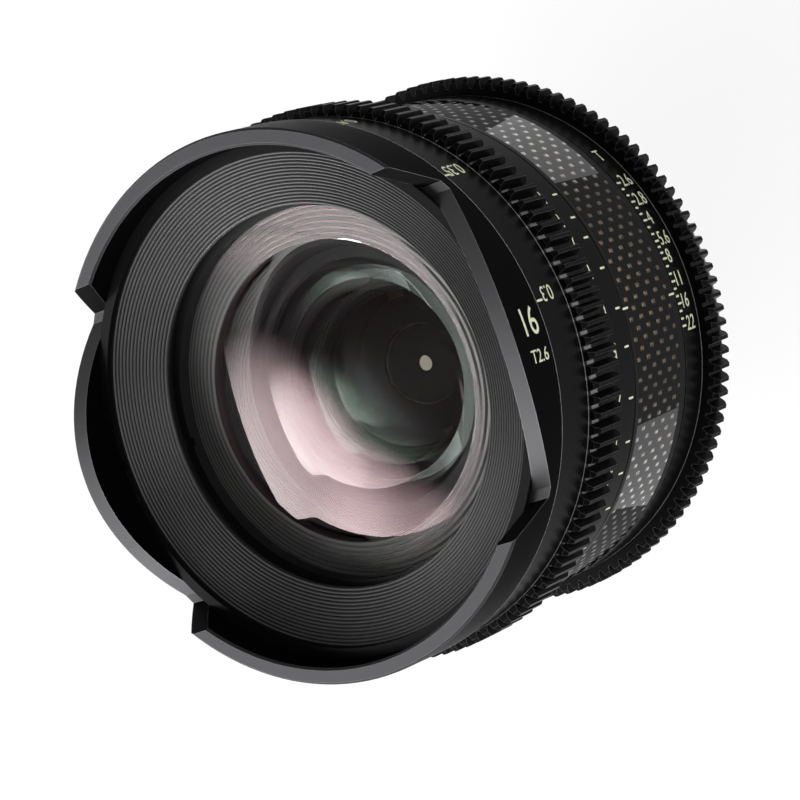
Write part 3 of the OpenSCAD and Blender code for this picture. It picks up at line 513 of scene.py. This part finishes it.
def weave_effect(name):
    """Plain weave of flat tows round the barrel, in cells of arc by height.

    Along is 1 in every other cell, where the tow along the axis is on top. Height is the root of a half sine
    across the cell, times the same along it. Patch is a flat-topped step across the cell, times the same
    along it. Fibre is a fast sine across the tow on top."""
    tree, given, out = effect(name, [("Radius", 45.8), ("Cell", 1.75)], ["Along", "Height", "Patch", "Fibre"])
    polar = place_effect(tree, polar_effect)
    arc = math_node(tree, "MULTIPLY", polar["Angle"], given.outputs["Radius"])
    u = math_node(tree, "DIVIDE", arc, given.outputs["Cell"])
    w = math_node(tree, "DIVIDE", polar["Height"], given.outputs["Cell"])
    cells = math_node(tree, "ADD", math_node(tree, "FLOOR", u), math_node(tree, "FLOOR", w))
    along = math_node(tree, "GREATER_THAN", math_node(tree, "FLOORED_MODULO", cells, 2.0), 0.5)
    crowns = []
    for side in (u, w):
        wave = math_node(tree, "SINE", math_node(tree, "MULTIPLY", math_node(tree, "FRACT", side), math.pi))
        crowns.append(math_node(tree, "SQRT", wave))
    crown = math_node(tree, "MULTIPLY", *crowns)
    lines = [math_node(tree, "SINE", math_node(tree, "MULTIPLY", side, 75.0)) for side in (w, u)]
    pick = tree.nodes.new("ShaderNodeMix")
    for a, b in ((along, pick.inputs[0]), (lines[0], pick.inputs[2]), (lines[1], pick.inputs[3])):
        tree.links.new(a, b)
    feather = 0.2
    tops = []
    for side, start, end in ((u, 0.25, 0.82), (w, 0.06, 0.94)):
        part = math_node(tree, "FRACT", side)
        rise = ramp(tree, part, start, start + feather)
        tops.append(math_node(tree, "SUBTRACT", rise, ramp(tree, part, end - feather, end)))
    tree.links.new(along, out.inputs["Along"])
    tree.links.new(crown, out.inputs["Height"])
    tree.links.new(math_node(tree, "MULTIPLY", *tops), out.inputs["Patch"])
    tree.links.new(pick.outputs[0], out.inputs["Fibre"])
    return tree


EFFECT_NAMES = {polar_effect: "Lens polar", grain_effect: "Satin grain", line_effect: "Edge line",
                facing_effect: "Facing", edge_highlight_effect: "Edge wear", groove_effect: "Grooves",
                turned_effect: "Turned lines", weave_effect: "Carbon weave"}


def shader(name, **sockets):
    """New material with a Principled BSDF whose named sockets hold these values: (material, tree, shader)."""
    made = bpy.data.materials.new(name)
    made.use_nodes = True
    tree = made.node_tree
    bsdf = tree.nodes["Principled BSDF"]
    for label, value in sockets.items():
        socket = bsdf.inputs[label.replace("_", " ")]
        socket.default_value = (*value, 1) if socket.type == "RGBA" else value
    return made, tree, bsdf


def bump(tree, bsdf, height, distance):
    """Bump of a height socket, in metres, on the shader's Normal."""
    node = tree.nodes.new("ShaderNodeBump")
    node.inputs["Distance"].default_value = distance
    tree.links.new(height, node.inputs["Height"])
    tree.links.new(node.outputs[0], bsdf.inputs["Normal"])


def settings():
    """The finish settings of the scene."""
    return bpy.context.scene.lens_finish


def grained(name, tone, rough, level, spread=0.1, low=0.75, high=1.3):
    """Material whose colour and roughness follow the satin grain: (material, tree, shader, colour)."""
    made, tree, bsdf = shader(name, Specular_IOR_Level=level)
    grain = place_effect(tree, grain_effect, Roughness=rough, Spread=spread)
    mixed = blend_colour(tree, grain["Tone"], shade(tone, low), shade(tone, high))
    tree.links.new(mixed, bsdf.inputs["Base Color"])
    tree.links.new(grain["Roughness"], bsdf.inputs["Roughness"])
    bump(tree, bsdf, grain["Height"], GRAIN_DEPTH)
    return made, tree, bsdf, mixed


def satin_metal(name, tone=1.0, rough=0.4, level=0.25, edges=(), rim=0.0, highlight=0.0):
    """Anodised black metal, with painted highlights as pale, partly metallic lines at the given heights.

    A share for the front faces paints them paler, as painted light, and a share for sharp edges paints pale
    highlights on them; each also says how metallic they are."""
    made, tree, bsdf, mixed = grained(name, shade(settings().anodised, tone), rough, level)
    bare = []
    # Painted light: the faces that look to the front are made paler, and partly metallic so that they also
    # reflect
    if rim:
        mask = place_effect(tree, facing_effect)["Front"]
        mixed = blend_colour(tree, mask, mixed, tuple(settings().rim))
        bare.append(math_node(tree, "MULTIPLY", mask, rim))
    # Painted highlights: sharp edges are made pale, and partly metallic so that they also reflect
    if highlight:
        mask = math_node(tree, "MULTIPLY", place_effect(tree, edge_highlight_effect)["Mask"], highlight)
        mixed = blend_colour(tree, mask, mixed, tuple(settings().edge))
        bare.append(mask)
    # Painted highlights: pale, partly metallic lines on the walls at the given heights
    if edges:
        lines = []
        for at, width, inside, share in edges:
            line = place_effect(tree, line_effect, At=at, Width=width, Inside=inside)["Mask"]
            lines.append(math_node(tree, "MULTIPLY", share, line))
        wall = place_effect(tree, facing_effect)["Wall"]
        mask = math_node(tree, "MULTIPLY", highest(tree, lines), wall)
        mixed = blend_colour(tree, mask, mixed, tuple(settings().edge))
        bare.append(math_node(tree, "MULTIPLY", mask, EDGE_HIGHLIGHT_METAL))
    if bare:
        tree.links.new(highest(tree, bare), bsdf.inputs["Metallic"])
    tree.links.new(mixed, bsdf.inputs["Base Color"])
    return made


def grooved(name, tone, rough, level, start, pitch, valley_shade):
    """Matte metal with turned grooves, with painted shade in their valleys."""
    made, tree, bsdf, mixed = grained(name, tone, rough, level)
    crest = place_effect(tree, groove_effect, Start=start / MM, Pitch=pitch / MM)["Crest"]
    # Painted shade: the colour darkens towards each groove's valley
    tree.links.new(blend_colour(tree, crest, shade(tone, valley_shade), mixed), bsdf.inputs["Base Color"])
    return made


def carbon_fibre(name):
    """Woven carbon under a clear coat: bright tows lie along the axis, dark ones round the barrel."""
    made, tree, bsdf = shader(name, Specular_IOR_Level=0.0, Coat_Weight=0.16, Coat_Roughness=0.02)
    weave = place_effect(tree, weave_effect, Radius=BODY_R / MM)
    strands = ramp(tree, place_effect(tree, grain_effect, Scale=2600.0)["Height"], low=0.22, high=0.58)
    top = math_node(tree, "MULTIPLY", weave["Along"], weave["Patch"])
    glint = math_node(tree, "MULTIPLY", top, strands)
    lit = blend_colour(tree, glint, RESIN, tuple(settings().tow))
    tree.links.new(lit, bsdf.inputs["Base Color"])
    tree.links.new(glint, bsdf.inputs["Metallic"])
    rough = math_node(tree, "ADD", math_node(tree, "MULTIPLY", weave["Fibre"], 0.04), 0.32)
    tree.links.new(rough, bsdf.inputs["Roughness"])
    bump(tree, bsdf, weave["Height"], WEAVE_DEPTH)
    return made


def coated_glass(name, tint, index=1.52, edge_r=None):
    """Clear coated glass that casts no shadow, with ground walls and a dark edge past a radius in mm."""
    made, tree, bsdf = shader(name, Base_Color=CLEAR_GLASS, Roughness=0.0, IOR=index, Transmission_Weight=1.0,
                              Specular_Tint=tint)
    if edge_r:
        mask = ramp(tree, place_effect(tree, polar_effect)["Radius"], edge_r - 0.15, edge_r)
        tree.links.new(blend_colour(tree, mask, CLEAR_GLASS, GLASS_EDGE), bsdf.inputs["Base Color"])
    ground = place_effect(tree, facing_effect)["Wall"]
    tree.links.new(math_node(tree, "MULTIPLY", ground, GROUND_ROUGHNESS), bsdf.inputs["Roughness"])
    path = tree.nodes.new("ShaderNodeLightPath")
    passing = tree.nodes.new("ShaderNodeBsdfTransparent")
    either = tree.nodes.new("ShaderNodeMixShader")
    tree.links.new(path.outputs["Is Shadow Ray"], either.inputs[0])
    tree.links.new(bsdf.outputs[0], either.inputs[1])
    tree.links.new(passing.outputs[0], either.inputs[2])
    tree.links.new(either.outputs[0], tree.nodes["Material Output"].inputs["Surface"])
    return made


def bare_metal(name, tone, rough):
    """Bare metal with fine turned lines, which are paler and rougher than the metal between them."""
    made, tree, bsdf = shader(name, Metallic=1.0)
    lines = place_effect(tree, turned_effect)["Lines"]
    tree.links.new(blend_colour(tree, lines, shade(tone, 0.75), tone), bsdf.inputs["Base Color"])
    dull = math_node(tree, "MULTIPLY", lines, 0.2)
    tree.links.new(math_node(tree, "ADD", dull, rough), bsdf.inputs["Roughness"])
    bump(tree, bsdf, lines, TURNED_DEPTH)
    return made


def ring_highlights():
    """Painted highlights of the focus and iris rings: pale lines at the gears' fronts and the focus ring's
    back, and a pale patch on the focus gear's tooth roots; each a height, width and outer radius in
    millimetres, and share.
    """
    return [(FOCUS_GEAR_FRONT + 0.13, 0.22, PAST_LENS_R, 1.0),
            # Painted light: a pale patch on the roots between the focus gear's teeth
            (FOCUS_GEAR_FRONT - 1.8, 2.2, TOOTH_ROOT_R, 0.35),
            (FOCUS_Z[0] / MM + 0.1, 0.12, PAST_LENS_R, 0.7),
            (IRIS_GEAR_FRONT + 0.13, 0.2, PAST_LENS_R, 1.0)]


def hood_highlight():
    """Painted highlight line at the back of the hood: height, width and outer radius in millimetres, and
    share.
    """
    return [(FOCUS_Z[1] / MM + 0.4, 0.3, PAST_LENS_R, 1.0)]


FINISHES = {
    "hood satin": lambda n: satin_metal(n, tone=0.4, rough=0.34, level=0.004, edges=hood_highlight(), rim=0.3,
                                        highlight=0.35),
    "ring gloss": lambda n: satin_metal(n, tone=0.6, rough=0.28, level=0.02, edges=ring_highlights(), highlight=0.18),
    "barrel satin": lambda n: satin_metal(n, rough=0.3, level=0.03),
    "baffle matte": lambda n: grooved(n, shade(settings().anodised, 18.0), rough=0.42, level=0.3,
                                      start=RIBS_OUT_R, pitch=RIB_PITCH, valley_shade=0.15),
    "inner matte": lambda n: satin_metal(n, tone=1.2, rough=0.6, level=0.2),
    "trap grey": lambda n: grooved(n, tuple(settings().trap), rough=0.5, level=0.3,
                                   start=TRAP_START_R, pitch=TRAP_PITCH, valley_shade=0.33),
    "blade matte": lambda n: satin_metal(n, tone=2.0, rough=0.5, level=0.3),
    "carbon fibre": carbon_fibre,
    "front glass": lambda n: coated_glass(n, tuple(settings().front_coat), edge_r=GLASS_R / MM - 0.5),
    "green glass": lambda n: coated_glass(n, tuple(settings().green_coat), index=INNER_GLASS_INDEX),
    "dark glass": lambda n: coated_glass(n, tuple(settings().dark_coat), index=INNER_GLASS_INDEX),
    "amber glass": lambda n: coated_glass(n, tuple(settings().amber_coat), index=INNER_GLASS_INDEX),
    "rose glass": lambda n: coated_glass(n, tuple(settings().rose_coat), index=INNER_GLASS_INDEX),
    "steel": lambda n: bare_metal(n, tuple(settings().steel), rough=0.28),
    "bronze": lambda n: bare_metal(n, tuple(settings().bronze), rough=0.3),
    "polymer": lambda n: grained(n, tuple(settings().polymer), rough=0.55, level=0.4, low=0.85, high=1.0)[0],
    "scale paint": lambda n: grained(n, tuple(settings().paint), rough=0.5, level=0.3, low=0.8, high=1.0)[0],
}

NODE_FINISH = {
    "hood satin": ["petal_hood"],
    "ring gloss": ["focus_ring", "iris_ring"],
    "barrel satin": ["main_barrel", "rear_barrel", "hood_retainer"],
    "baffle matte": ["ribbed_baffle"],
    "trap grey": ["light_trap_ring"],
    "carbon fibre": ["carbon_sleeve"],
    "front glass": ["front_element"],
    "green glass": ["second_element", "fifth_element"],
    "dark glass": ["third_element", "fourth_element"],
    "amber glass": ["sixth_element"],
    "rose glass": ["rear_element"],
    "steel": ["lens_mount", "mount_shim", "focus_followers", "iris_link"]
             + [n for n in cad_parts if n.endswith("_screws")],
    "bronze": ["focus_cam_sleeve", "iris_cam_ring"],
    "polymer": [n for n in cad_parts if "slide_ring" in n],
    "blade matte": [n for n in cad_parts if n.startswith("blade_")],
}


def dress(name, finish):
    """Gives a node the material of a finish."""
    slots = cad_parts[name].data.materials
    slots.clear()
    slots.append(material(finish))


def dress_all(glass):
    """Gives every listed node its finish, either the lenses or all the others."""
    for finish, names in NODE_FINISH.items():
        if ("glass" in finish) == glass:
            for name in names:
                dress(name, finish)


class LENS_OT_body_finish(bpy.types.Operator):
    """Black metal, carbon fibre, steel and bronze on every node that isn't glass"""

    bl_idname = "lens.body_finish"
    bl_label = "Body finish"

    def execute(self, context):
        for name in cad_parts:
            dress(name, "inner matte")
        dress_all(glass=False)
        return {"FINISHED"}


class LENS_OT_glass_finish(bpy.types.Operator):
    """Coated glass on every lens"""

    bl_idname = "lens.glass_finish"
    bl_label = "Glass finish"

    def execute(self, context):
        dress_all(glass=True)
        return {"FINISHED"}


class LENS_OT_hood_marks(bpy.types.Operator):
    """Focal length and widest stop on the hood"""

    bl_idname = "lens.hood_marks"
    bl_label = "Hood marks"

    def execute(self, context):
        scale = context.scene.lens_scale
        marks = [text_mark("16", scale.hood_digit, HOOD_R, 1.2, HOOD_DIGITS_Z, -1),
                 text_mark("T2.6", scale.stop_digit, HOOD_R, -5.7, HOOD_STOP_Z, -1, narrow=0.9)]
        scale_piece("hood_numbers", marks, "barrel")
        return {"FINISHED"}


class LENS_OT_focus_marks(bpy.types.Operator):
    """Distance numbers and ticks on both bands of the focus ring"""

    bl_idname = "lens.focus_marks"
    bl_label = "Focus marks"

    def execute(self, context):
        size = context.scene.lens_scale.ring_digit
        marks = []
        for text, angle in NEAR_DISTANCES:
            marks.append(text_mark(text, size, FOCUS_FRONT_R, angle, FOCUS_FRONT_DIGITS_Z, 1))
            marks.append(tick_mark(1.8 * MM, FOCUS_FRONT_R, angle - 1.0, FOCUS_FRONT_TICKS_Z))
        for text, angle in FAR_DISTANCES:
            marks.append(tick_mark(1.5 * MM, FOCUS_REAR_R, angle, FOCUS_REAR_TICKS_Z))
            marks.append(text_mark(text, size, FOCUS_REAR_R, angle, FOCUS_REAR_DIGITS_Z, 1))
        scale_piece("focus_scale", marks, "focus")
        return {"FINISHED"}


class LENS_OT_iris_marks(bpy.types.Operator):
    """Stop numbers and ticks on the iris ring, and both index lines on the body"""

    bl_idname = "lens.iris_marks"
    bl_label = "Iris marks"

    def execute(self, context):
        size = context.scene.lens_scale.ring_digit
        digit_to_tick = -0.4
        marks = [text_mark("T", size, IRIS_BAND_R, 32.6, IRIS_DIGITS_Z, -1, start=True)]
        for text, angle in STOPS:
            marks.append(text_mark(text, size, IRIS_BAND_R, angle, IRIS_DIGITS_Z, -1, narrow=0.78,
                                   start=True))
            marks.append(tick_mark(1.4 * MM, IRIS_BAND_R, angle + digit_to_tick, IRIS_TICKS_Z))
        angles = np.array([angle for _, angle in STOPS]) + digit_to_tick
        thirds = np.concatenate([angles[:-1] * (1 - k / 3) + angles[1:] * k / 3 for k in (1, 2)])
        marks += [tick_mark(1.0 * MM, IRIS_BAND_R, float(angle), IRIS_THIRDS_Z) for angle in thirds]
        scale_piece("iris_scale", marks, "iris")
        index = [tick_mark(1.9 * MM, BODY_R, -2.7, FOCUS_INDEX_Z),
                 tick_mark(1.9 * MM, BODY_R, -3.1, IRIS_INDEX_Z)]
        scale_piece("index_lines", index, "barrel")
        return {"FINISHED"}


def softbox(name, place, target, width, height, radiance, tint=(1, 1, 1), side=(0, 1, 0), only=()):
    """Area light of an even radiance, aimed at a target with its height along side.

    Its power is pi times radiance times area. Where only names nodes, it lights those alone."""
    lamp = bpy.data.lights.new(name, "AREA")
    lamp.shape = "RECTANGLE"
    lamp.size, lamp.size_y = width, height
    lamp.energy = math.pi * radiance * width * height
    lamp.color = tint
    light = bpy.data.objects.new(name, lamp)
    back = (Vector(place) - Vector(target)).normalized()
    light.matrix_world = stand(place, back, side)
    light.visible_camera = False
    if only:
        lit = bpy.data.collections.new(name)
        for node in only:
            lit.objects.link(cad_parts[node])
        light.light_linking.receiver_collection = lit
    bpy.context.scene.collection.objects.link(light)


def stand(place, back, up):
    """Matrix of a lamp or camera at a place that looks away from back, with up as near as can be to its Y."""
    right = Vector(up).cross(back).normalized()
    turn = Matrix((right, back.cross(right), back)).transposed().to_4x4()
    turn.translation = Vector(place)
    return turn


def studio_sky(strength):
    """World of an even grey with large feathered lights, each a smooth step of the angle from its middle."""
    world = bpy.data.worlds.new("studio sky")
    world.use_nodes = True
    tree = world.node_tree
    place = tree.nodes.new("ShaderNodeTexCoord")
    total = strength
    for azimuth, elevation, full, outer, radiance in SKY_LIGHTS:
        a, e = math.radians(azimuth), math.radians(elevation)
        angle = tree.nodes.new("ShaderNodeVectorMath")
        angle.operation = "DOT_PRODUCT"
        angle.inputs[1].default_value = (math.cos(e) * math.cos(a), math.cos(e) * math.sin(a), math.sin(e))
        tree.links.new(place.outputs["Generated"], angle.inputs[0])
        lit = ramp(tree, angle.outputs["Value"], math.cos(math.radians(outer)), math.cos(math.radians(full)),
                   radiance)
        total = math_node(tree, "ADD", total, lit)
    tree.nodes["Background"].inputs["Color"].default_value = (1, 1, 1, 1)
    tree.links.new(total, tree.nodes["Background"].inputs["Strength"])
    return world


def floor_paper(name):
    """Pale paper that shows as white, with a trace of the lens's shadow."""
    made, tree, bsdf = shader(name, Base_Color=tuple(bpy.context.scene.lens_stage.floor), Roughness=0.9,
                              Specular_IOR_Level=0.0)
    path = tree.nodes.new("ShaderNodeLightPath")
    kinds = ("Is Camera Ray", "Is Glossy Ray", "Is Transmission Ray")
    seen = highest(tree, [path.outputs[kind] for kind in kinds])
    glow = tree.nodes.new("ShaderNodeEmission")
    both = tree.nodes.new("ShaderNodeMixShader")
    tree.links.new(math_node(tree, "MULTIPLY", seen, FLOOR_WHITE), both.inputs[0])
    tree.links.new(bsdf.outputs[0], both.inputs[1])
    tree.links.new(glow.outputs[0], both.inputs[2])
    tree.links.new(both.outputs[0], tree.nodes["Material Output"].inputs["Surface"])
    return made


class LENS_OT_stage(bpy.types.Operator):
    """Floor, sky, softboxes and camera"""

    bl_idname = "lens.stage"
    bl_label = "Studio"

    def execute(self, context):
        stage = context.scene.lens_stage
        corners = ((-1, -1), (1, -1), (1, 1), (-1, 1))
        points = [(x * FLOOR_HALF, y * FLOOR_HALF, FLOOR_Z - FLOOR_GAP) for x, y in corners]
        mesh = bpy.data.meshes.new("floor")
        mesh.from_pydata(points, [], [(0, 1, 2, 3)])
        floor = bpy.data.objects.new("floor", mesh)
        context.scene.collection.objects.link(floor)
        mesh.materials.append(floor_paper("floor paper"))
        context.scene.world = studio_sky(stage.sky)
        softbox("camera fill", place=(0.55, -0.1, 0.25), target=(0, 0, 0.05), width=0.4, height=0.4,
                radiance=3.0, side=(0, 0, 1))
        up = Vector((0, 0, 1))
        for name, place, width, depth, radiance, tint, side in CARDS:
            spot = Vector((*place, CARD_Z))
            softbox(name, spot, spot + up, width, depth, radiance, tint, side, ["carbon_sleeve"])
        softbox("light from behind", place=(0, 0, 0.0246), target=(0, 0, 1), width=0.026, height=0.026,
                radiance=0.28, tint=(1.0, 0.9, 0.72))
        camera = bpy.data.cameras.new("camera")
        camera.lens = stage.focal
        camera.sensor_width = 36
        eye = bpy.data.objects.new("camera", camera)
        context.scene.collection.objects.link(eye)
        eye.matrix_world = stand(CAMERA_PLACE, Vector(CAMERA_BACK).normalized(), CAMERA_UP)
        context.scene.camera = eye
        context.scene.view_settings.view_transform = "Standard"
        return {"FINISHED"}


class LENS_PT_looks(bpy.types.Panel):
    """Lists the steps of the looks"""

    bl_idname = "LENS_PT_looks"
    bl_label = "Prime Lens"
    bl_space_type = "VIEW_3D"
    bl_region_type = "UI"
    bl_category = "Prime Lens"

    def draw(self, context):
        for step in STEPS:
            self.layout.operator(step.bl_idname)
        for group in GROUPS:
            values = getattr(context.scene, group)
            box = self.layout.box()
            for label in values.__annotations__:
                box.prop(values, label)


STEPS = (LENS_OT_body_finish, LENS_OT_glass_finish, LENS_OT_hood_marks, LENS_OT_focus_marks,
         LENS_OT_iris_marks, LENS_OT_stage)
GROUPS = {"lens_finish": LensFinishSettings, "lens_scale": LensScaleSettings,
          "lens_stage": LensStageSettings}


def register():
    """Registers the classes and puts the settings on the scene."""
    for cls in (*GROUPS.values(), *STEPS, LENS_PT_looks):
        bpy.utils.register_class(cls)
    for name, cls in GROUPS.items():
        setattr(bpy.types.Scene, name, PointerProperty(type=cls))


def unregister():
    """Takes the settings and the classes away again."""
    for name in GROUPS:
        delattr(bpy.types.Scene, name)
    for cls in reversed((*GROUPS.values(), *STEPS, LENS_PT_looks)):
        bpy.utils.unregister_class(cls)


def main():
    register()
    for step in STEPS:
        group, name = step.bl_idname.split(".")
        getattr(getattr(bpy.ops, group), name)()


if __name__ == "__main__":
    main()
